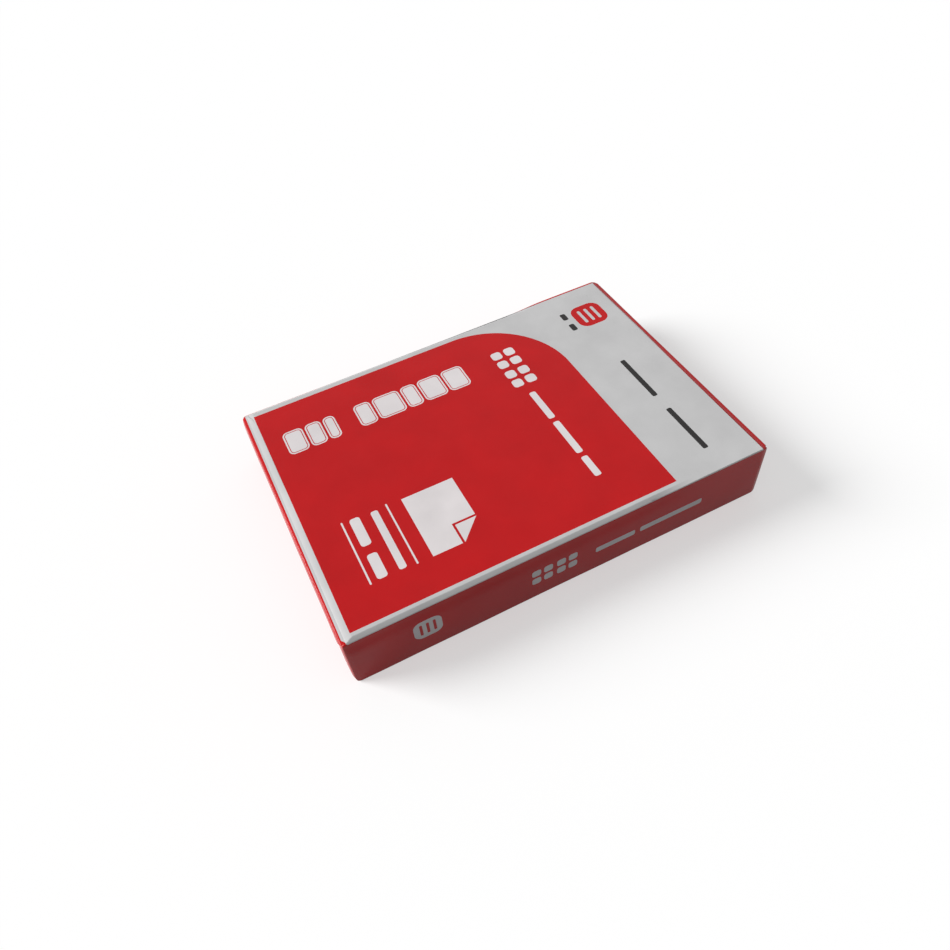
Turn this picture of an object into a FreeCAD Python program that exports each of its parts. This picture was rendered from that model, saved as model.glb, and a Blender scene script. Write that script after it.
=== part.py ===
"""A sealed ream of 500 A4 sheets in its printed paper wrapper, in millimetres.

The wrapper is one sheet of paper. It goes round the stack as a tube whose two long edges lap under
the stack and are glued there. Past each end of the stack the tube is folded shut: the two narrow
sides are tucked in first, then the lower flap is folded up, and the upper flap is folded down over
it and glued. The tucks turn the flaps into trapezoids with 45 degree sides. The folded paper is
springy, so each end bulges a little.

X runs along the sheets' length, Y across their width and Z up. The origin is the middle of the face
that the ream lies on.
"""

import FreeCAD
import Part

import math
import os

# The sheets inside
SHEET_LENGTH = 297.0
SHEET_WIDTH = 210.0
SHEET_COUNT = 500
SHEET_CALIPER = 0.094

# The wrapper, and how far it stands off the stack
WRAPPER_THICKNESS = 0.12
SIDE_SLACK = 1.6
END_SLACK = 0.6
TOP_SLACK = 0.3

# Fold radii: along the four long edges, and round the rim of each end
LONG_FOLD_RADIUS = 1.0
END_FOLD_RADIUS = 1.0

# How far an end bulges at mid height, and how far it would bulge across the ream's width if the flaps
# didn't hold it flatter
END_BULGE = 3.4
CROSS_BULGE = 7.0

# End flaps: how far each layer of folded paper stands out, the flaps' length as a share of the ream's
# height, and how far inside the long folds the flaps' 45 degree sides start
LAYER_RISE = 0.4
FLAP_SHARE = 0.76
FLAP_INSET = 0.7

# Glued seam under the stack: where its cut edge lies, how deep the step is, and how far the paper
# beside it takes to come level again
SEAM_EDGE_Y = -14.0
SEAM_STEP = 0.15
SEAM_RELIEF = 6.0

# Worked out from the values above
HALF_WIDTH = SHEET_WIDTH / 2 + WRAPPER_THICKNESS + SIDE_SLACK
HEIGHT = SHEET_COUNT * SHEET_CALIPER + 2 * WRAPPER_THICKNESS + TOP_SLACK
FLAP_LENGTH = FLAP_SHARE * HEIGHT
FLAP_HALF = HALF_WIDTH - LONG_FOLD_RADIUS - FLAP_INSET
TUCK_X = SHEET_LENGTH / 2 + WRAPPER_THICKNESS + END_SLACK
LOWER_FLAP_X = TUCK_X + LAYER_RISE
UPPER_FLAP_X = LOWER_FLAP_X + LAYER_RISE

# Angle in degrees from an axis within which an edge counts as running along it
ALONG_ANGLE = 5.0

X_AXIS = FreeCAD.Vector(1, 0, 0)
Y_AXIS = FreeCAD.Vector(0, 1, 0)
Z_AXIS = FreeCAD.Vector(0, 0, 1)


def arc(start, middle, end):
    return Part.Arc(start, middle, end).toShape()


def across_outline(*corners):
    """The closed outline through (y, z) corners, in the plane across the ream's length."""
    points = [FreeCAD.Vector(0, y, z) for y, z in corners]
    return Part.makePolygon(points + points[:1]).Edges


def prism(edges, along):
    """The outline drawn out both ways along an axis, past anything it is to trim."""
    solid = Part.Face(Part.Wire(edges)).extrude(along * 2 * SHEET_LENGTH)
    solid.translate(along * -SHEET_LENGTH)
    return solid


def rounded(solid, along, radius):
    """The solid with its edges along the axis rounded."""
    across = math.sin(math.radians(ALONG_ANGLE))
    edges = [
        edge for edge in solid.Edges
        if edge.tangentAt(edge.FirstParameter).cross(along).Length < across
    ]
    return solid.makeFillet(radius, edges)


def bulged_slab(end_x, bulge, across, low, high, along):
    """A slab from low to high on the across axis, with both ends bulged and their rims folded round."""
    def spot(x, height):
        return X_AXIS * x + across * height

    crown_x = end_x + bulge
    middle = (low + high) / 2
    outline = [
        Part.makeLine(spot(-end_x, low), spot(end_x, low)),
        arc(spot(end_x, low), spot(crown_x, middle), spot(end_x, high)),
        Part.makeLine(spot(end_x, high), spot(-end_x, high)),
        arc(spot(-end_x, high), spot(-crown_x, middle), spot(-end_x, low)),
    ]
    return rounded(prism(outline, along), along, END_FOLD_RADIUS)


def tube():
    """The wrapper's tube round the stack, with its four long folds."""
    outline = across_outline(
        (-HALF_WIDTH, 0), (HALF_WIDTH, 0), (HALF_WIDTH, HEIGHT), (-HALF_WIDTH, HEIGHT)
    )
    return rounded(prism(outline, X_AXIS), X_AXIS, LONG_FOLD_RADIUS)


def closed_tube(end_x):
    """The tube folded shut at both ends, with the rims of the ends at end_x."""
    side_view = bulged_slab(end_x, END_BULGE, Z_AXIS, 0, HEIGHT, Y_AXIS)
    plan_view = bulged_slab(end_x, CROSS_BULGE, Y_AXIS, -HALF_WIDTH, HALF_WIDTH, Z_AXIS)
    return tube().common(side_view).common(plan_view)


def flap_layer(end_x, fold_z, cut_z):
    """A flap on each end, joined through the stack: full width at its fold, with 45 degree sides."""
    cut_half = FLAP_HALF - FLAP_LENGTH
    outline = across_outline(
        (-FLAP_HALF, fold_z), (FLAP_HALF, fold_z), (cut_half, cut_z), (-cut_half, cut_z)
    )
    return closed_tube(end_x).common(prism(outline, X_AXIS))


def seam_step():
    """The wedge beside the seam's cut edge, where the paper under the lap comes level again."""
    outline = across_outline(
        (SEAM_EDGE_Y - SEAM_RELIEF, 0), (SEAM_EDGE_Y, SEAM_STEP), (SEAM_EDGE_Y, -SEAM_RELIEF)
    )
    return prism(outline, X_AXIS)


def wrapped_ream():
    """The whole sealed pack as one solid: tucked ends, lower flaps, upper flaps and the seam."""
    lower_flaps = flap_layer(LOWER_FLAP_X, 0, FLAP_LENGTH)
    upper_flaps = flap_layer(UPPER_FLAP_X, HEIGHT, HEIGHT - FLAP_LENGTH)
    folded = closed_tube(TUCK_X).multiFuse([lower_flaps, upper_flaps])
    return folded.cut(seam_step()).removeSplitter().Solids[0]


def main():
    os.makedirs("parts", exist_ok=True)
    wrapped_ream().exportStep("parts/wrapped_ream.step")


main()
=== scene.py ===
import math

import bpy
import numpy as np
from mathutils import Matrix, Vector
from mathutils.geometry import delaunay_2d_cdt


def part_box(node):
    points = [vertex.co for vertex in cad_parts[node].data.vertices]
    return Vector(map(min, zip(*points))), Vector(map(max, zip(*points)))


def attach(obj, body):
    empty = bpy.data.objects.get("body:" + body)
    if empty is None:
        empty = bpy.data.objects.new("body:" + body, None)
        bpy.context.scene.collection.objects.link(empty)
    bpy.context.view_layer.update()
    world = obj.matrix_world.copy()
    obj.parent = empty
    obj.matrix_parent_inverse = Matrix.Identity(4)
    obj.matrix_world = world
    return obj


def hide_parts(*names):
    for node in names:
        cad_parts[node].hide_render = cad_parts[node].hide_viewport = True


# Looks for the sealed ream of paper. Lengths are in millimetres until a mesh is made. The wrapper is
# one sheet, and a place on it is given in the flat: u runs along the ream's length and v round it,
# both from the middle of the top. Each printed colour is a piece of that sheet, cut along its outline.

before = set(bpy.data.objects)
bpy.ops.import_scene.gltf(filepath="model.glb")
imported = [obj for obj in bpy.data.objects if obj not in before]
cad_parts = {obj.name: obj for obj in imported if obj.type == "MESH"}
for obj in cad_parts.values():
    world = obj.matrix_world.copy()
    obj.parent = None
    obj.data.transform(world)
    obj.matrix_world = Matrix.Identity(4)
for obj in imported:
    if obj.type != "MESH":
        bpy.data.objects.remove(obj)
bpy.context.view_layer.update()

NODE = "wrapped_ream"
MM = 0.001
QUARTER = math.pi / 2

# Guards: the least length to divide by, the slack in counting steps, and how near points merge
TINY = 1e-9
COUNT_SLACK = 1e-6
MERGE_DISTANCE = 1e-5

# Folded form of the wrapper, as the solid has it
LONG_FOLD_RADIUS = 1.0
END_FOLD_RADIUS = 1.0
CROSS_BULGE = 7.0
LAYER_RISE = 0.4
FLAP_SHARE = 0.76
FLAP_INSET = 0.7
SEAM_EDGE_Y = -14.0
SEAM_STEP = 0.15
SEAM_RELIEF = 6.0

# How far the sheet's two long edges lap under the stack
SEAM_OVERLAP = 4.0

# The ends' folds are loose and reach out a little past the rims, so the middle bulges less beyond them
RIM_REACH = 0.9
END_BULGE_IN_SOLID = 3.4
END_BULGE = END_BULGE_IN_SOLID - RIM_REACH
LEAST_BULGE = 0.001
# How flat a bulge stays before it drops to its rim, up the end and across it, and how tightly the two
# curves meet
FULLNESS = 8
CROSS_FULLNESS = 24
BULGE_BLEND = 4

# Worked out from the solid's box
HIGH_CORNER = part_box(NODE)[1]
HALF_WIDTH = HIGH_CORNER.y / MM
HEIGHT = HIGH_CORNER.z / MM
UPPER_FLAP_X = HIGH_CORNER.x / MM - END_BULGE_IN_SOLID
LOWER_FLAP_X = UPPER_FLAP_X - LAYER_RISE
TUCK_X = LOWER_FLAP_X - LAYER_RISE
RING_X = TUCK_X - END_FOLD_RADIUS
FLAT_HALF = HALF_WIDTH - LONG_FOLD_RADIUS
LONG_ARC = QUARTER * LONG_FOLD_RADIUS
END_ARC = QUARTER * END_FOLD_RADIUS
SIDE_FLAT = HEIGHT - 2 * LONG_FOLD_RADIUS
HALF_ROUND = 2 * FLAT_HALF + 2 * LONG_ARC + SIDE_FLAT
FLAP_HALF = FLAT_HALF - FLAP_INSET
FLAP_LENGTH = FLAP_SHARE * HEIGHT
NEAR_EDGE_V = SEAM_EDGE_Y + SEAM_OVERLAP - HALF_ROUND
FAR_EDGE_V = HALF_ROUND - SEAM_EDGE_Y

# Sides of a flap: the fold there curls under towards a layer that lies deeper, and starts a little way
# past the tube's end
CURL_RADIUS = 0.25
CURL_WIDTH = 1.0
CURL_STEPS = 3
CURL_MARGIN = 0.1
DEEPER = 1.0
GUIDE_STEP = 2.0

# How deep the paper shows at a flap's cut edge
CUT_EDGE_DEPTH = 0.36

# Soft waves of the paper on the stack: length, heading, phase, height
WAVES = (
    (171.0, 12.0, 0.4, 0.055),
    (93.0, 97.0, 2.1, 0.045),
    (61.0, 40.0, 4.0, 0.030),
    (47.0, -28.0, 1.2, 0.022),
    (29.0, 70.0, 5.1, 0.012),
)
# Towards the left end the wrapper has a shoulder along its long folds
SLOPE_START_V = 103.1
SLOPE_RUN = 3.0
SLOPE_DROP = 1.95
SLOPE_POWER = 1.12
SLOPE_INWARD = 0.7
SLOPE_FADE_U = (60.0, 100.0)
SLOPE_BACK_RUN = 14.0
# The ends' borders slope down too: where each slope starts, its run and its drop
LEFT_SLOPE = (143.8, 5.2, 1.3)
RIGHT_SLOPE = (147.0, 2.4, 0.8)
END_SLOPE_POWER = 1.5
# A ridge in the border at the far left corner of the top: its middle, heading in degrees and length,
# and how deep and how far to its right the paper is pressed down
RIDGE_U = -147.0
RIDGE_V = 100.2
RIDGE_HEADING = -72.0
RIDGE_LENGTH = 10.0
RIDGE_ENDS_POWER = 4
RIDGE_DEPTH = 0.42
RIDGE_WIDTH = 0.8

# Mesh spacing on the flats, and how many steps go round each kind of fold
FLAT_STEP = 4.0
FLAP_STEP = 2.0
BORDER_STEP = 0.5
BORDER_BAND = 9.0
LONG_FOLD_STEPS = 7
END_FOLD_STEPS = 7
CAP_STEPS = 14

# Points round an outline's corner: the fewest, and the radius that adds one more
CORNER_STEPS = 6
RADIUS_PER_STEP = 3.0

# How far to each side a surface is sampled for its normals
NORMAL_STEP = 0.02

# How far the tucked sides' rims run on under the flaps
TUCK_UNDER = 3.0

# The UV map: its margin, and how far to the side of the sheet the rims, the tucked ends and the cut edges
# lie on it
UV_MARGIN = 0.01
RIM_SHIFT = 3 * FLAP_LENGTH
CAP_SHIFT = 4 * FLAP_LENGTH + HALF_WIDTH
EDGE_SHIFT = 20.0

# Light: an even grey sky and one broad soft lamp from the left and behind
WORLD_LEVEL = 0.36
SUN_LEVEL = 4.05
SUN_SPREAD = 30.0
TO_SUN = (-0.75, 0.45, 0.5)

# The floor: how much light it throws back, and how far its own white shows over its shadows, near the
# object and far from it
FLOOR_RADIUS = 30.0
FLOOR_SIDES = 96
FLOOR_ROUGHNESS = 0.9
FLOOR_GREY = 0.25
WHITE_NEAR = 0.5
WHITE_FAR_FROM = 0.4
WHITE_FAR = 1.6

# The photograph's camera
SENSOR_WIDTH = 36.0
PHOTO_PIXELS = 950
FOCAL_PIXELS = 775.0
CAMERA_PLACE = (-151.27, -338.02, 442.42)
CAMERA_TURN = (39.779, 4.063, -26.618)
NEAREST_SEEN = 0.01

# The white frame's outline on the top, in the flat: the print lies a little crooked on the pack
FRAME_OUTLINE = (
    (-149.8, -101.7),
    (-148.3, -106.1),
    (60.0, -106.1),
    (100.0, -107.4),
    (147.3, -107.4),
    (147.4, 0.0),
    (148.2, 35.0),
    (147.6, 104.8),
    (-149.6, 104.8),
)
# The red field inside it, with one round corner
FIELD_BOX = (-144.5, -100.5, 82.3, 99.5)
FIELD_RADII = (0.0, 0.0, 66.0, 0.0)

# Plain shapes in the places of lettering, in the flat: first the row of outlined blocks
BLOCK_GROUPS = ((-132.0, (15.0, 12.0, 9.0)), (-78.0, (13.0, 21.0, 12.0, 18.0, 17.0)))
BLOCK_LOW_V = 49.0
BLOCK_HIGH_V = 72.0
BLOCK_GAP = 1.6
BLOCK_RADIUS = 4.0
BLOCK_RIM = 1.1
BLOCK_LINE = 0.6
# The sheet with a folded corner
PAGE_BOX = (-80.0, -76.0, -43.0, -25.0)
PAGE_CORNER = 15.0
PAGE_LINE = 1.6
# Rounding of a bar or tile, as a share of its lesser size
BAR_ROUNDING = 0.3
# Bars: middle u, middle v, size along u, size along v
FIELD_BARS = (
    (42.0, 3.5, 5.0, 30.0),
    (42.0, -32.0, 5.0, 33.0),
    (42.0, -62.0, 5.0, 19.0),
    (-90.4, -49.8, 1.2, 52.5),
    (-121.4, -49.8, 1.2, 52.5),
    (-99.5, -50.0, 5.0, 50.0),
    (-113.0, -36.0, 7.0, 24.0),
    (-113.0, -65.0, 7.0, 20.0),
)
PANEL_BARS = (
    (105.3, 79.0, 4.5, 8.0),
    (105.3, 65.0, 4.5, 8.0),
    (116.0, -8.0, 4.0, 43.0),
    (116.0, -65.5, 4.0, 43.0),
)
# Squares of four tiles: middle u, middle v, size
TILE_SQUARES = ((43.5, 60.5, 19.0), (43.5, 37.5, 19.0))
TILE_GAP_SHARE = 0.14
# Badges: middle u, middle v, size; their corners, bars and bar spacing are shares of the size
PANEL_BADGE = (124.0, 72.0, 25.0)
SIDE_BADGE_U = -100.3
SIDE_BADGE_Z = 25.0
SIDE_BADGE_SIZE = 19.0
BADGE_CORNER = 0.3
BADGE_PITCH = 0.24
BADGE_BAR = 0.1
BADGE_BAR_ROUNDING = 1 / 2.1
BADGE_SPAN = 0.62
# Tiles and bars on the near side: middle u and middle z, then a tile square's size, or a bar's sizes
# along u and round the ream
SIDE_TILES = ((-20.5, 23.0, 15.0), (-2.5, 23.0, 15.0))
SIDE_BARS = (
    (34.0, 21.5, 30.0, 5.0),
    (77.5, 21.5, 49.0, 5.0),
)

# Colours of the inks and of the raw paper
RED_INK = (0.49, 0.009, 0.011)
WHITE_INK = (0.53, 0.528, 0.53)
MARK_INK = (0.71, 0.67, 0.675)
SIDE_MARK_INK = (0.62, 0.60, 0.61)
DARK_INK = (0.03, 0.028, 0.028)
RAW_PAPER = (0.8, 0.79, 0.77)

# Each ink's name, its piece, its material and its colour
INK_PIECES = (
    ("wrapper", "wrapper_red", "red_wrapper", RED_INK),
    ("frame", "print_white_frame", "white_print", WHITE_INK),
    ("field", "print_red_field", "red_print", RED_INK),
    ("marks", "print_pale_marks", "pale_marks", MARK_INK),
    ("dark", "print_dark_marks", "dark_marks", DARK_INK),
    ("badge", "print_red_badge", "red_badge", RED_INK),
    ("side_marks", "print_side_marks", "side_marks", SIDE_MARK_INK),
)

# Gloss and range of roughness: coated paper, and its raw cut edge
COATED = (0.12, (0.16, 0.24))
RAW = (0.1, (0.7, 0.9))

# Noises on the paper: scale and detail, and the range that each is spread to from the noise's middle
NOISE_MIDDLE = (0.3, 0.7)
SHADE_NOISE = (38.0, 3.0)
SHADE_RANGE = (0.94, 1.04)
SPECK_NOISE = (2600.0, 2.0)
SPECK_RANGE = (0.97, 1.03)
ROUGH_NOISE = (55.0, 4.0)
GRAIN_NOISE = (1800.0, 3.0)
COCKLE_NOISE = (45.0, 2.0)

# Bumps: strength and height
GRAIN_BUMP = (0.25, 0.02)
COCKLE_BUMP = (0.6, 0.16)


def across(v):
    """Where the tube's outline runs at v: y, z and the outward direction in y and z."""
    way = np.where(v < 0, -1.0, 1.0)
    run = np.abs(v)
    upper_turn = np.clip((run - FLAT_HALF) / LONG_FOLD_RADIUS, 0, QUARTER)
    down = np.clip(run - FLAT_HALF - LONG_ARC, 0, SIDE_FLAT)
    lower_turn = np.clip((run - FLAT_HALF - LONG_ARC - SIDE_FLAT) / LONG_FOLD_RADIUS, 0, QUARTER)
    under = np.maximum(run - FLAT_HALF - 2 * LONG_ARC - SIDE_FLAT, 0)
    turn = upper_turn + lower_turn
    out = np.minimum(run, FLAT_HALF) - under
    out = out + LONG_FOLD_RADIUS * (np.sin(upper_turn) - 1 + np.cos(lower_turn))
    z = HEIGHT - LONG_FOLD_RADIUS * (1 - np.cos(upper_turn) + np.sin(lower_turn)) - down
    return way * out, z, way * np.sin(turn), np.cos(turn)


def bulge(y, z):
    """How far an end stands out at y and z: the flatter of its side view's curve and its plan view's."""
    height_share = (z - HEIGHT / 2) / (HEIGHT / 2)
    width_share = y / HALF_WIDTH
    side_view = np.maximum(END_BULGE * (1 - height_share ** FULLNESS), LEAST_BULGE)
    plan_view = np.maximum(CROSS_BULGE * (1 - width_share ** CROSS_FULLNESS), LEAST_BULGE)
    both = side_view ** -BULGE_BLEND + plan_view ** -BULGE_BLEND
    return RIM_REACH + both ** (-1 / BULGE_BLEND)


def smooth_step(low, high, value):
    share = np.clip((value - low) / (high - low), 0, 1)
    return share * share * (3 - 2 * share)


def wave(u, v, length, heading, phase):
    """A sine wave over the sheet, of a given length and heading in degrees."""
    along = u * math.cos(math.radians(heading)) + v * math.sin(math.radians(heading))
    return np.sin(2 * math.pi * along / length + phase)


def relief(u, v):
    """How far the paper lies below its plain folded form, always inwards."""
    height = np.zeros_like(u)
    for length, heading, phase, size in WAVES:
        height = height + size * (wave(u, v, length, heading, phase) - 1)
    heading = math.radians(RIDGE_HEADING)
    along = (u - RIDGE_U) * math.cos(heading) + (v - RIDGE_V) * math.sin(heading)
    right = (v - RIDGE_V) * math.cos(heading) - (u - RIDGE_U) * math.sin(heading)
    reach = np.exp(-(along / (RIDGE_LENGTH / 2)) ** RIDGE_ENDS_POWER)
    share = np.maximum(right, 0) / RIDGE_WIDTH
    height = height - RIDGE_DEPTH * reach * share * np.exp(1 - share)
    lap = HALF_ROUND + v
    height = height - SEAM_STEP * (1 - smooth_step(-SEAM_EDGE_Y, SEAM_RELIEF - SEAM_EDGE_Y, lap))
    return height


def slope_down(u, v):
    """How far the paper lies lower where the wrapper slopes down to the edges of its top."""
    share = np.clip((np.abs(v) - SLOPE_START_V) / SLOPE_RUN, 0, 1)
    back = 1 - smooth_step(0, SLOPE_BACK_RUN, np.abs(v) - FLAT_HALF - LONG_ARC)
    soft = 1 - smooth_step(*SLOPE_FADE_U, u)
    lowered = SLOPE_DROP * soft * share ** SLOPE_POWER
    for way, (start, run, drop) in ((-1, LEFT_SLOPE), (1, RIGHT_SLOPE)):
        end_share = np.clip((way * u - start) / run, 0, 1)
        lowered = np.maximum(lowered, drop * end_share ** END_SLOPE_POWER)
    return lowered * back


def folded(u, v, end_x):
    """The sheet's place in space for a layer whose ends have their rims at end_x."""
    y, z, out_y, out_z = across(v)
    side = np.where(u < 0, -1.0, 1.0)
    past = np.abs(u) - (end_x - END_FOLD_RADIUS)
    turn = np.clip(past / END_FOLD_RADIUS, 0, QUARTER)
    drop = END_FOLD_RADIUS * (1 - np.cos(turn)) + np.maximum(past - END_ARC, 0)
    x = np.minimum(np.abs(u), end_x - END_FOLD_RADIUS) + END_FOLD_RADIUS * np.sin(turn)
    depth = relief(u, v)
    lowered = slope_down(u, v)
    inward = SLOPE_INWARD / SLOPE_DROP * lowered * np.abs(out_y) * np.sign(y)
    y_in = y - out_y * (drop - depth * np.cos(turn)) - inward * np.cos(turn)
    z_in = z - out_z * (drop - depth * np.cos(turn)) - lowered
    x_out = x + depth * np.sin(turn) + bulge(y_in, z_in) * np.sin(turn) ** 2
    return np.stack([side * x_out, y_in, z_in], axis=-1)


def layer_of(v):
    """The rim of the flap that this part of the sheet folds into: the upper or the lower one."""
    return np.where(np.abs(v) < HALF_ROUND / 2, UPPER_FLAP_X, LOWER_FLAP_X)


def sheet(u, v):
    """The tube and its flaps. Beyond a flap's 45 degree sides the paper curls under to the layer below."""
    upper = np.abs(v) < HALF_ROUND / 2
    end_x = layer_of(v)
    from_middle = np.where(upper, np.abs(v), HALF_ROUND - np.abs(v))
    away = np.where(upper, np.sign(v), -np.sign(v))
    slant = np.abs(u) - (end_x - END_FOLD_RADIUS)
    beyond_straight = from_middle - FLAP_HALF
    beyond_slant = (beyond_straight + slant) / math.sqrt(2)
    on_slant = beyond_slant > beyond_straight
    beyond = np.where(on_slant, beyond_slant, beyond_straight)
    beyond = np.where(np.abs(u) > RING_X + CURL_MARGIN, np.maximum(beyond, 0), 0)
    turn = np.clip(beyond / CURL_RADIUS, 0, QUARTER)
    back = beyond - CURL_RADIUS * np.sin(turn)
    sunk = CURL_RADIUS * (1 - np.cos(turn)) + np.maximum(beyond - QUARTER * CURL_RADIUS, 0)
    back_u = np.where(on_slant, back / math.sqrt(2), 0) * np.sign(u)
    back_v = np.where(on_slant, back / math.sqrt(2), back) * away
    place = folded(u - back_u, v - back_v, end_x)
    inwards = folded(u - back_u, v - back_v, end_x - DEEPER) - place
    size = np.maximum(np.linalg.norm(inwards, axis=-1, keepdims=True), TINY)
    return place + inwards / size * sunk[..., None]


def tuck_rim(u, v):
    """The rim of the tucked sides, one layer below the flaps."""
    return folded(u, v, TUCK_X)


def normals(surface, u, v):
    """Outward normals of a surface, from its slopes along u and v."""
    slope_u = surface(u + NORMAL_STEP, v) - surface(u - NORMAL_STEP, v)
    slope_v = surface(u, v + NORMAL_STEP) - surface(u, v - NORMAL_STEP)
    across_both = np.cross(slope_u, slope_v)
    size = np.maximum(np.linalg.norm(across_both, axis=-1, keepdims=True), TINY)
    return across_both / size


def spaced(*stops):
    """Values from the first stop to the last. Stops alternate with the largest step between them."""
    values = [stops[0]]
    for step, end in zip(stops[1::2], stops[2::2]):
        count = max(1, math.ceil((end - values[-1]) / step - COUNT_SLACK))
        values.extend(np.linspace(values[-1], end, count + 1)[1:])
    return np.array(values)


def box_outline(low_u, low_v, high_u, high_v, radii=0.0):
    """A box with rounded corners. The radii start at its low corner and go anticlockwise."""
    if not isinstance(radii, tuple):
        radii = (radii,) * 4
    corners = ((low_u, low_v), (high_u, low_v), (high_u, high_v), (low_u, high_v))
    inward = ((1, 1), (-1, 1), (-1, -1), (1, -1))
    points = []
    for index, radius in enumerate(radii):
        corner, way = corners[index], inward[index]
        if radius == 0:
            points.append(corner)
            continue
        steps = CORNER_STEPS + int(radius / RADIUS_PER_STEP)
        for angle in np.linspace(0, QUARTER, steps) + math.pi + index * QUARTER:
            points.append((
                corner[0] + radius * (way[0] + math.cos(angle)),
                corner[1] + radius * (way[1] + math.sin(angle)),
            ))
    return points


def inside_outline(points, outline):
    """Which points lie inside a closed outline."""
    inside = np.zeros(len(points), bool)
    u, v = points[:, 0], points[:, 1]
    for (u0, v0), (u1, v1) in zip(outline, outline[1:] + outline[:1]):
        if v0 == v1:
            continue
        crosses = (v0 > v) != (v1 > v)
        inside ^= crosses & (u < (u1 - u0) * (v - v0) / (v1 - v0) + u0)
    return inside


def grown(box, by):
    return (box[0] - by, box[1] - by, box[2] + by, box[3] + by)


def block(middle_u, middle_v, size_u, size_v, radius):
    """A rounded block about its middle."""
    return box_outline(
        middle_u - size_u / 2, middle_v - size_v / 2, middle_u + size_u / 2, middle_v + size_v / 2, radius
    )


def side_v(z):
    """Where the near side's height z lies in the flat."""
    return -(FLAT_HALF + LONG_ARC + HEIGHT - LONG_FOLD_RADIUS - z)


def outlined_blocks(box):
    """A pale block inside a thin red line and a pale rim."""
    steps_in = (("marks", 0.0), ("field", BLOCK_RIM), ("marks", BLOCK_RIM + BLOCK_LINE))
    return [(ink, box_outline(*grown(box, -step), BLOCK_RADIUS - step)) for ink, step in steps_in]


def block_row():
    """The row of outlined blocks near the far edge."""
    shapes = []
    for start, widths in BLOCK_GROUPS:
        low_u = start
        for width in widths:
            shapes += outlined_blocks((low_u, BLOCK_LOW_V, low_u + width, BLOCK_HIGH_V))
            low_u += width + BLOCK_GAP
    return shapes


def page_mark():
    """A sheet of paper with one corner folded over."""
    low_u, low_v, high_u, high_v = PAGE_BOX
    fold_u, fold_v = high_u - PAGE_CORNER, low_v + PAGE_CORNER
    sheet_outline = [(low_u, low_v), (fold_u, low_v), (high_u, fold_v), (high_u, high_v), (low_u, high_v)]
    corner = [
        (fold_u - PAGE_LINE, low_v - PAGE_LINE), (fold_u, low_v), (high_u, fold_v),
        (high_u + PAGE_LINE, fold_v + PAGE_LINE), (fold_u - PAGE_LINE, fold_v + PAGE_LINE),
    ]
    flap = [(fold_u, low_v), (high_u, fold_v), (fold_u, fold_v)]
    return [("marks", sheet_outline), ("field", corner), ("marks", flap)]


def stack_mark(middle_u, middle_v, size, ground_ink, bar_ink):
    """A rounded badge with three bars across it, like sheets in a pile."""
    shapes = [(ground_ink, block(middle_u, middle_v, size, size, size * BADGE_CORNER))]
    bar = size * BADGE_BAR
    for place in (-1, 0, 1):
        bar_u = middle_u + place * size * BADGE_PITCH
        outline = block(bar_u, middle_v, bar, size * BADGE_SPAN, bar * BADGE_BAR_ROUNDING)
        shapes.append((bar_ink, outline))
    return shapes


def bars(ink, rows):
    """Plain bars: middle u, middle v and their sizes along u and v."""
    return [
        (ink, block(u, v, size_u, size_v, min(size_u, size_v) * BAR_ROUNDING))
        for u, v, size_u, size_v in rows
    ]


def tiles(ink, middle_u, middle_v, size):
    """A square of four rounded tiles."""
    gap = size * TILE_GAP_SHARE
    tile = (size - gap) / 2
    offset = (tile + gap) / 2
    return [
        (ink, block(middle_u + way_u * offset, middle_v + way_v * offset, tile, tile, tile * BAR_ROUNDING))
        for way_u in (-1, 1) for way_v in (-1, 1)
    ]


def print_shapes():
    """The printed fields in the order they are laid down: the ink's name and the outline."""
    shapes = [("frame", list(FRAME_OUTLINE)), ("field", box_outline(*FIELD_BOX, FIELD_RADII))]
    shapes += block_row()
    shapes += page_mark()
    shapes += bars("marks", FIELD_BARS)
    shapes += bars("dark", PANEL_BARS)
    for square in TILE_SQUARES:
        shapes += tiles("marks", *square)
    for u, z, size in SIDE_TILES:
        shapes += tiles("side_marks", u, side_v(z), size)
    shapes += stack_mark(*PANEL_BADGE, "badge", "frame")
    shapes += stack_mark(SIDE_BADGE_U, side_v(SIDE_BADGE_Z), SIDE_BADGE_SIZE, "side_marks", "wrapper")
    shapes += bars("side_marks", [(u, side_v(z), size_u, size_v) for u, z, size_u, size_v in SIDE_BARS])
    return shapes


def ring_edges(count, start):
    return [(start + i, start + (i + 1) % count) for i in range(count)]


def cut_sheet(domain, u_lines, v_lines, shapes, guides=()):
    """Triangulates a flat outline so that every printed outline and guide line runs along mesh edges.

    Returns the points, the triangles and the name of each triangle's ink.
    """
    grid = np.stack(np.meshgrid(u_lines, v_lines, indexing="ij"), axis=-1).reshape(-1, 2)
    grid = grid[inside_outline(grid, domain)]
    points = [Vector(p) for p in grid]
    edges = []
    for outline in [domain] + [outline for ink, outline in shapes]:
        edges.extend(ring_edges(len(outline), len(points)))
        points.extend(Vector(p) for p in outline)
    for line in guides:
        edges.extend((len(points) + i, len(points) + i + 1) for i in range(len(line) - 1))
        points.extend(Vector(p) for p in line)
    out_points, _, faces, _, _, _ = delaunay_2d_cdt(points, edges, [], 0, MERGE_DISTANCE, False)
    flat = np.array([tuple(p) for p in out_points])
    triangles = np.array([f for f in faces if len(f) == 3])
    middles = flat[triangles].mean(axis=1)
    triangles = triangles[inside_outline(middles, domain)]
    middles = flat[triangles].mean(axis=1)
    inks = np.full(len(triangles), "wrapper", dtype=object)
    for ink, outline in shapes:
        inks[inside_outline(middles, outline)] = ink
    return flat, triangles, inks


def flap_run(end_x):
    """Where a flap's slanted sides start along u, and where its cut edge lies."""
    slant_start = end_x - END_FOLD_RADIUS
    return slant_start, slant_start + END_ARC + FLAP_LENGTH - END_FOLD_RADIUS


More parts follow.
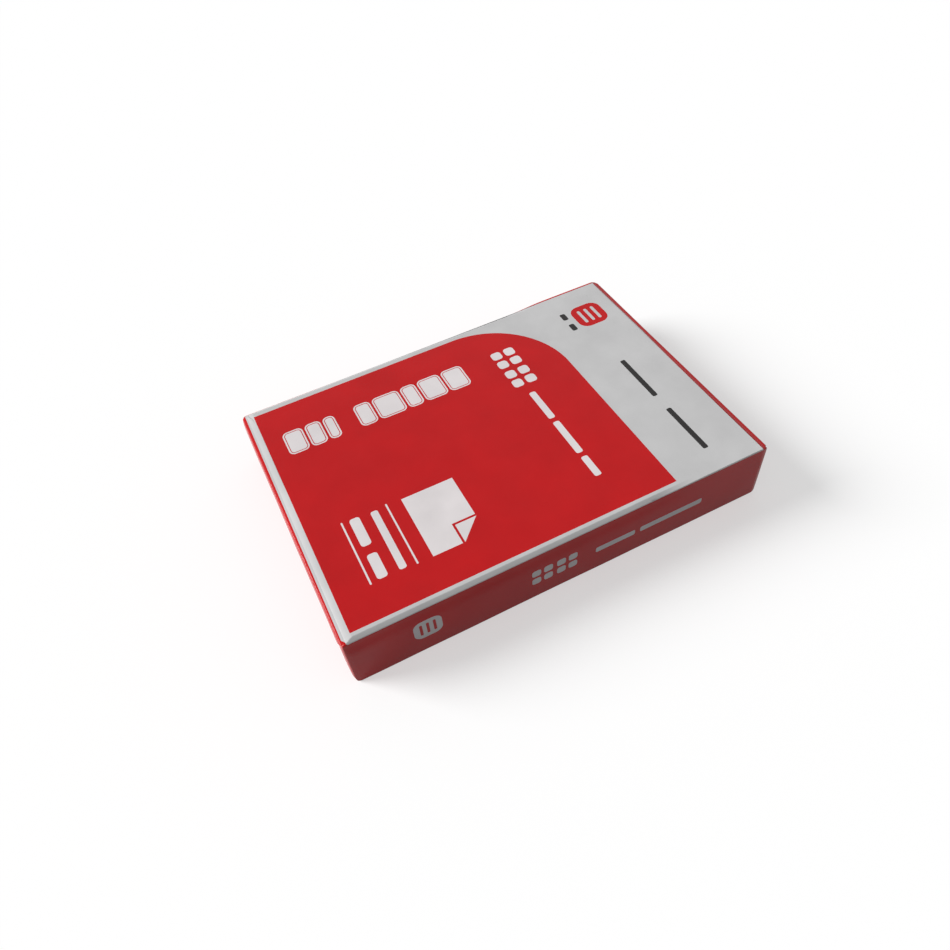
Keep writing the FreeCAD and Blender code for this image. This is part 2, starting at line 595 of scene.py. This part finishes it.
def flap_side(end_x, beyond):
    """A line along a flap's side, a given way beyond its fold: u and the distance from the middle."""
    slant_start, cut = flap_run(end_x)
    return [
        (RING_X + beyond, FLAP_HALF + beyond),
        (slant_start + beyond * (math.sqrt(2) - 1), FLAP_HALF + beyond),
        (cut, FLAP_HALF + slant_start + beyond * math.sqrt(2) - cut),
    ]


def divided(line):
    """A line of straight runs with points added along its runs."""
    out = [line[0]]
    for start, end in zip(line, line[1:]):
        count = math.ceil(math.dist(start, end) / GUIDE_STEP)
        for share in np.linspace(0, 1, count + 1)[1:]:
            out.append(tuple(a + (b - a) * share for a, b in zip(start, end)))
    return out


def fold_guides():
    """Lines along the sides of all four flaps, where the paper folds under."""
    guides = []
    for beyond in CURL_RADIUS * np.linspace(0, QUARTER, CURL_STEPS + 1):
        upper = divided(flap_side(UPPER_FLAP_X, beyond))
        lower = [(u, HALF_ROUND - w) for u, w in divided(flap_side(LOWER_FLAP_X, beyond))]
        for line in (upper, lower):
            guides += [[(side * u, way * w) for u, w in line] for side in (-1, 1) for way in (-1, 1)]
    return guides


def run_up(u, low_v, high_v):
    """An outline's straight run from low to high v, with points close enough to follow the folds."""
    return [(u, v) for v in spaced(low_v, BORDER_STEP, high_v)]


def sheet_domain():
    """The flat outline of the tube with its four flaps, curled strips included."""
    upper = [(RING_X, FLAP_HALF)] + flap_side(UPPER_FLAP_X, CURL_WIDTH)
    lower = [(RING_X, FLAP_HALF)] + flap_side(LOWER_FLAP_X, CURL_WIDTH)
    between = run_up(RING_X, FLAP_HALF, HALF_ROUND - FLAP_HALF)[1:-1]
    cut = lower[-1][0]
    right = [(cut, NEAR_EDGE_V)]
    right += [(u, w - HALF_ROUND) for u, w in reversed(lower)]
    right += [(u, -w) for u, w in reversed(between)]
    right += [(u, -w) for u, w in upper]
    right += [(u, w) for u, w in reversed(upper)]
    right += between
    right += [(u, HALF_ROUND - w) for u, w in lower]
    right += [(cut, FAR_EDGE_V)]
    return right + [(-u, v) for u, v in reversed(right)]


def rim_box(side, way):
    """The flat box of one tucked side's rim: from under the upper flap to under the lower one."""
    low_u, high_u = sorted((side * RING_X, side * (RING_X + END_ARC)))
    low_v, high_v = sorted((way * (FLAP_HALF - TUCK_UNDER), way * (HALF_ROUND - FLAP_HALF + TUCK_UNDER)))
    return low_u, low_v, high_u, high_v


class Pieces:
    """Collects the triangles of each ink, with their normals and their places on the piece's UV map."""

    def __init__(self):
        self.parts = {}

    def add(self, ink, points, faces, outward, flat):
        self.parts.setdefault(ink, []).append((points, faces, outward, flat))

    def add_inks(self, surface, flat, triangles, inks, shift=(0.0, 0.0)):
        """Shares a cut sheet's triangles out between the inks."""
        for ink in sorted(set(inks)):
            used, faces = np.unique(triangles[inks == ink], return_inverse=True)
            u, v = flat[used, 0], flat[used, 1]
            self.add(ink, surface(u, v), faces.reshape(-1, 3), normals(surface, u, v), flat[used] + shift)

    def build(self, ink, name, material):
        """Makes one object of everything collected for an ink."""
        parts = self.parts[ink]
        starts = np.cumsum([0] + [len(part[0]) for part in parts])
        points = np.concatenate([part[0] for part in parts]) * MM
        faces = np.concatenate([part[1] + start for part, start in zip(parts, starts)])
        outward = np.concatenate([part[2] for part in parts])
        flat = np.concatenate([part[3] for part in parts])
        return make_piece(name, points, faces, outward, flat, material)


def make_piece(name, points, faces, outward, flat, material):
    """A mesh that stands for the ream's wrapper, with its own normals and UV map."""
    a, b, c = (points[faces[:, i]] for i in range(3))
    facing = np.einsum("ij,ij->i", np.cross(b - a, c - a), outward[faces].sum(axis=1))
    faces = np.where((facing < 0)[:, None], faces[:, ::-1], faces)
    mesh = bpy.data.meshes.new(name)
    mesh.from_pydata(points.tolist(), [], faces.tolist())
    mesh.shade_smooth()
    uv_map = mesh.uv_layers.new(name="OFBake")
    low, high = flat.min(axis=0), flat.max(axis=0)
    placed = UV_MARGIN + (1 - 2 * UV_MARGIN) * (flat - low) / (high - low).max()
    loop_points = np.empty(len(mesh.loops), dtype=np.int32)
    mesh.loops.foreach_get("vertex_index", loop_points)
    uv_map.data.foreach_set("uv", placed[loop_points].astype(np.float32).ravel())
    mesh.normals_split_custom_set_from_vertices(outward.tolist())
    mesh.materials.append(material)
    piece = bpy.data.objects.new(name, mesh)
    bpy.context.scene.collection.objects.link(piece)
    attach(piece, "root")
    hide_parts(NODE)
    return piece


def add_sheet(pieces, shapes):
    """The tube with its flaps, with fine mesh along the borders and folds."""
    fold_step = LONG_ARC / LONG_FOLD_STEPS
    rim_step = END_ARC / END_FOLD_STEPS
    flap_end = UPPER_FLAP_X - END_FOLD_RADIUS + END_ARC + FLAP_LENGTH
    u_half = spaced(
        0, FLAT_STEP, RING_X - BORDER_BAND, BORDER_STEP, RING_X, rim_step,
        UPPER_FLAP_X + END_FOLD_RADIUS, FLAP_STEP, flap_end,
    )
    v_half = spaced(
        0, FLAT_STEP, FLAT_HALF - BORDER_BAND, BORDER_STEP, FLAT_HALF, fold_step,
        FLAT_HALF + LONG_ARC, FLAP_STEP, FLAT_HALF + LONG_ARC + BORDER_BAND, FLAT_STEP, HALF_ROUND / 2,
    )
    u_lines = np.concatenate([-u_half[:0:-1], u_half])
    v_half = np.concatenate([v_half, HALF_ROUND - v_half[-2::-1]])
    v_far = spaced(HALF_ROUND, FLAT_STEP, FAR_EDGE_V)[1:]
    v_lines = np.concatenate([-v_half[:0:-1], v_half, v_far])
    flat, triangles, inks = cut_sheet(sheet_domain(), u_lines, v_lines, shapes, fold_guides())
    pieces.add_inks(sheet, flat, triangles, inks)


def add_rims(pieces, shapes):
    """The rims of the four tucked sides, which show beside the flaps."""
    for side in (-1, 1):
        for way in (-1, 1):
            low_u, low_v, high_u, high_v = rim_box(side, way)
            domain = run_up(high_u, low_v, high_v) + run_up(low_u, low_v, high_v)[::-1]
            u_lines = spaced(low_u, END_ARC / END_FOLD_STEPS, high_u)
            v_lines = spaced(low_v, BORDER_STEP, high_v)
            flat, triangles, inks = cut_sheet(domain, u_lines, v_lines, shapes)
            pieces.add_inks(tuck_rim, flat, triangles, inks, shift=(side * RIM_SHIFT, 0.0))


def cap_point(side, v, inward):
    """The tucked end's flat, at a share of the way in from its rim at v to the line along its middle."""
    u = np.full_like(v, side * (RING_X + END_ARC))
    rim = tuck_rim(u, v)
    spine_half = HALF_WIDTH - HEIGHT / 2
    spine_y = np.clip(rim[..., 1], -spine_half, spine_half)
    y = rim[..., 1] + (spine_y - rim[..., 1]) * inward
    z = rim[..., 2] + (HEIGHT / 2 - rim[..., 2]) * inward
    rim_gap = np.abs(rim[..., 0]) - TUCK_X - bulge(rim[..., 1], rim[..., 2])
    x = TUCK_X + bulge(y, z) + rim_gap * (1 - inward) ** 2
    return np.stack([side * x, y, z], axis=-1)


def add_caps(pieces):
    """The flat of the tucked sides at each end, which runs on under the flaps."""
    v_half = spaced(
        0, FLAT_STEP, FLAT_HALF - BORDER_BAND, BORDER_STEP, FLAT_HALF + LONG_ARC, FLAP_STEP, HALF_ROUND / 2
    )
    v_half = np.concatenate([v_half, HALF_ROUND - v_half[-2::-1]])
    loop = np.concatenate([-v_half[:0:-1], v_half])
    shares = np.linspace(0, 1, CAP_STEPS + 1)
    v, share = np.meshgrid(loop, shares, indexing="ij")
    for side in (-1, 1):
        points = cap_point(side, v.ravel(), share.ravel())
        y, z = points[:, 1], points[:, 2]
        slope_y = (bulge(y + NORMAL_STEP, z) - bulge(y - NORMAL_STEP, z)) / (2 * NORMAL_STEP)
        slope_z = (bulge(y, z + NORMAL_STEP) - bulge(y, z - NORMAL_STEP)) / (2 * NORMAL_STEP)
        outward = np.stack([np.full_like(y, side), -slope_y, -slope_z], axis=-1)
        outward /= np.linalg.norm(outward, axis=-1, keepdims=True)
        first = np.arange(v.size).reshape(v.shape)
        a, b = first[:-1, :-1].ravel(), first[1:, :-1].ravel()
        c, d = first[1:, 1:].ravel(), first[:-1, 1:].ravel()
        faces = np.concatenate([np.stack([a, b, c], axis=-1), np.stack([a, c, d], axis=-1)])
        flat = np.stack([side * (CAP_SHIFT + z), y], axis=-1)
        pieces.add("wrapper", points, faces, outward, flat)


def add_cut_edges(pieces):
    """The paper's thickness along the upper flaps' cut edges."""
    slant_start, cut_u = flap_run(UPPER_FLAP_X)
    cut_half = FLAP_HALF + slant_start - cut_u
    v = spaced(-cut_half, FLAT_STEP, cut_half)
    for side in (-1, 1):
        edge = sheet(np.full_like(v, side * cut_u), v)
        points = np.concatenate([edge, edge - np.array([side * CUT_EDGE_DEPTH, 0, 0])])
        count = len(v)
        a = np.arange(count - 1)
        faces = np.concatenate([
            np.stack([a, a + 1, a + count + 1], axis=-1),
            np.stack([a, a + count + 1, a + count], axis=-1),
        ])
        outward = np.tile([0.0, 0.0, -1.0], (2 * count, 1))
        flat_v = side * EDGE_SHIFT + points[:, 0] - edge[0, 0]
        flat = np.stack([np.concatenate([v, v]), flat_v], axis=-1)
        pieces.add("edge", points, faces, outward, flat)


def new_material(name):
    material = bpy.data.materials.new(name)
    material.use_nodes = True
    return material, material.node_tree.nodes, material.node_tree.links


def noise(nodes, links, place, scale, detail):
    texture = nodes.new("ShaderNodeTexNoise")
    texture.inputs["Scale"].default_value = scale
    texture.inputs["Detail"].default_value = detail
    links.new(place, texture.inputs["Vector"])
    return texture.outputs["Fac"]


def mapped(nodes, links, value, low, high):
    """A noise value spread from its usual middle range to the range from low to high."""
    remap = nodes.new("ShaderNodeMapRange")
    remap.inputs["From Min"].default_value = NOISE_MIDDLE[0]
    remap.inputs["From Max"].default_value = NOISE_MIDDLE[1]
    remap.inputs["To Min"].default_value = low
    remap.inputs["To Max"].default_value = high
    links.new(value, remap.inputs["Value"])
    return remap.outputs["Result"]


def uneven_ink(nodes, links, place, colour):
    """A colour whose depth varies softly over the sheet and finely from speck to speck."""
    shade = mapped(nodes, links, noise(nodes, links, place, *SHADE_NOISE), *SHADE_RANGE)
    speck = mapped(nodes, links, noise(nodes, links, place, *SPECK_NOISE), *SPECK_RANGE)
    both = nodes.new("ShaderNodeMath")
    both.operation = "MULTIPLY"
    links.new(shade, both.inputs[0])
    links.new(speck, both.inputs[1])
    ink = nodes.new("ShaderNodeVectorMath")
    ink.operation = "SCALE"
    ink.inputs["Vector"].default_value = colour
    links.new(both.outputs[0], ink.inputs["Scale"])
    return ink.outputs["Vector"]


def bump(nodes, links, height, strength, size):
    """A bump of a given size in millimetres."""
    node = nodes.new("ShaderNodeBump")
    node.inputs["Strength"].default_value = strength
    node.inputs["Distance"].default_value = size * MM
    links.new(height, node.inputs["Height"])
    return node


def printed_paper(name, colour, gloss, roughness):
    """Printed paper: ink a little uneven, a fine grain and a slight cockle."""
    material, nodes, links = new_material(name)
    shader = nodes["Principled BSDF"]
    place = nodes.new("ShaderNodeTexCoord").outputs["Object"]
    links.new(uneven_ink(nodes, links, place, colour), shader.inputs["Base Color"])
    rough = mapped(nodes, links, noise(nodes, links, place, *ROUGH_NOISE), *roughness)
    links.new(rough, shader.inputs["Roughness"])
    shader.inputs["Specular IOR Level"].default_value = gloss
    grain = bump(nodes, links, noise(nodes, links, place, *GRAIN_NOISE), *GRAIN_BUMP)
    cockle = bump(nodes, links, noise(nodes, links, place, *COCKLE_NOISE), *COCKLE_BUMP)
    links.new(grain.outputs["Normal"], cockle.inputs["Normal"])
    links.new(cockle.outputs["Normal"], shader.inputs["Normal"])
    return material


def seen_directly(nodes, links):
    """1 for what the camera sees itself, in a reflection or through glass, and 0 for stray light."""
    path = nodes.new("ShaderNodeLightPath")
    seen = path.outputs["Is Camera Ray"]
    for kind in ("Is Glossy Ray", "Is Transmission Ray"):
        either = nodes.new("ShaderNodeMath")
        either.operation = "MAXIMUM"
        links.new(seen, either.inputs[0])
        links.new(path.outputs[kind], either.inputs[1])
        seen = either.outputs[0]
    return seen


def floor_material():
    """Plain white paint. The camera and reflections see it white; it throws less light back."""
    material, nodes, links = new_material("floor")
    paint = nodes["Principled BSDF"]
    paint.inputs["Base Color"].default_value = (1, 1, 1, 1)
    paint.inputs["Roughness"].default_value = FLOOR_ROUGHNESS
    paint.inputs["Specular IOR Level"].default_value = 0.0
    shine = nodes.new("ShaderNodeEmission")
    distance = nodes.new("ShaderNodeVectorMath")
    distance.operation = "LENGTH"
    links.new(nodes.new("ShaderNodeTexCoord").outputs["Object"], distance.inputs[0])
    share = nodes.new("ShaderNodeMapRange")
    share.interpolation_type = "SMOOTHSTEP"
    share.inputs["From Min"].default_value = WHITE_FAR_FROM
    share.inputs["From Max"].default_value = WHITE_FAR
    share.inputs["To Min"].default_value = WHITE_NEAR
    share.inputs["To Max"].default_value = 1.0
    links.new(distance.outputs["Value"], share.inputs["Value"])
    white = nodes.new("ShaderNodeMixShader")
    links.new(share.outputs["Result"], white.inputs["Fac"])
    links.new(paint.outputs[0], white.inputs[1])
    links.new(shine.outputs[0], white.inputs[2])
    grey = nodes.new("ShaderNodeBsdfDiffuse")
    grey.inputs["Color"].default_value = (FLOOR_GREY, FLOOR_GREY, FLOOR_GREY, 1)
    mix = nodes.new("ShaderNodeMixShader")
    links.new(seen_directly(nodes, links), mix.inputs["Fac"])
    links.new(grey.outputs[0], mix.inputs[1])
    links.new(white.outputs[0], mix.inputs[2])
    links.new(mix.outputs[0], nodes["Material Output"].inputs["Surface"])
    return material


def add_floor():
    """A wide flat floor, a disc."""
    turns = [2 * math.pi * i / FLOOR_SIDES for i in range(FLOOR_SIDES)]
    points = [(FLOOR_RADIUS * math.cos(turn), FLOOR_RADIUS * math.sin(turn), 0.0) for turn in turns]
    mesh = bpy.data.meshes.new("floor")
    mesh.from_pydata(points, [], [range(FLOOR_SIDES)])
    mesh.materials.append(floor_material())
    floor = bpy.data.objects.new("floor", mesh)
    bpy.context.scene.collection.objects.link(floor)


def add_light():
    world = bpy.data.worlds.new("studio")
    bpy.context.scene.world = world
    world.use_nodes = True
    nodes, links = world.node_tree.nodes, world.node_tree.links
    background = nodes["Background"]
    background.inputs["Color"].default_value = (1, 1, 1, 1)
    strength = nodes.new("ShaderNodeMapRange")
    strength.inputs["To Min"].default_value = WORLD_LEVEL
    strength.inputs["To Max"].default_value = 1.0
    links.new(seen_directly(nodes, links), strength.inputs["Value"])
    links.new(strength.outputs["Result"], background.inputs["Strength"])
    data = bpy.data.lights.new("window", "SUN")
    data.energy = SUN_LEVEL
    data.angle = math.radians(SUN_SPREAD)
    lamp = bpy.data.objects.new("window", data)
    lamp.rotation_euler = Vector(TO_SUN).to_track_quat("Z", "Y").to_euler()
    bpy.context.scene.collection.objects.link(lamp)


def add_camera():
    data = bpy.data.cameras.new("camera")
    data.sensor_width = SENSOR_WIDTH
    data.lens = FOCAL_PIXELS / PHOTO_PIXELS * SENSOR_WIDTH
    data.clip_start = NEAREST_SEEN
    camera = bpy.data.objects.new("camera", data)
    camera.location = Vector(CAMERA_PLACE) * MM
    camera.rotation_euler = [math.radians(angle) for angle in CAMERA_TURN]
    bpy.context.scene.collection.objects.link(camera)
    bpy.context.scene.camera = camera


def add_wrapper():
    shapes = print_shapes()
    pieces = Pieces()
    add_sheet(pieces, shapes)
    add_rims(pieces, shapes)
    add_caps(pieces)
    add_cut_edges(pieces)
    for ink, piece, material, colour in INK_PIECES:
        pieces.build(ink, piece, printed_paper(material, colour, *COATED))
    pieces.build("edge", "cut_edges", printed_paper("raw_paper", RAW_PAPER, *RAW))


bpy.context.scene.view_settings.view_transform = "Standard"
add_wrapper()
add_floor()
add_light()
add_camera()
